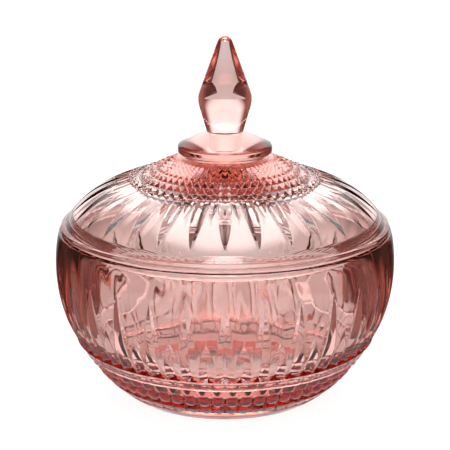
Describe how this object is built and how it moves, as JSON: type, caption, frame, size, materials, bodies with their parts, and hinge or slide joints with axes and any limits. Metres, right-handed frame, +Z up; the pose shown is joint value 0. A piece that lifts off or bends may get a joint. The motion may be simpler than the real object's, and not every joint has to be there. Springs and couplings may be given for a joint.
{
  "type": "covered candy dish",
  "caption": "Round covered candy dish in pink pressed glass: a bowl on a low foot and a domed lid with a spire finial that lifts off.",
  "frame": {"origin": "centre of the foot's underside, on the surface that the dish stands on", "axes": "+Z up along the dish's axis; the middle of a long leaf faces -Y"},
  "size_m": [0.158, 0.158, 0.1669],
  "materials": {
    "bowl_glass": "clear pink pressed glass, fire-polished inside, patterned outside",
    "lid_glass": "clear pink pressed glass, fire-polished inside, patterned outside",
    "finial_glass": "clear pink solid glass, fire-polished"
  },
  "bodies": {
    "bowl": {"bowl": "bowl_glass"},
    "lid": {"lid": "lid_glass", "finial": "finial_glass"}
  },
  "joints": [
    {"name": "lid_lift", "type": "slide", "parent": "bowl", "child": "lid", "axis": [0, 0, 1], "range_m": [0, 0.08]}
  ]
}
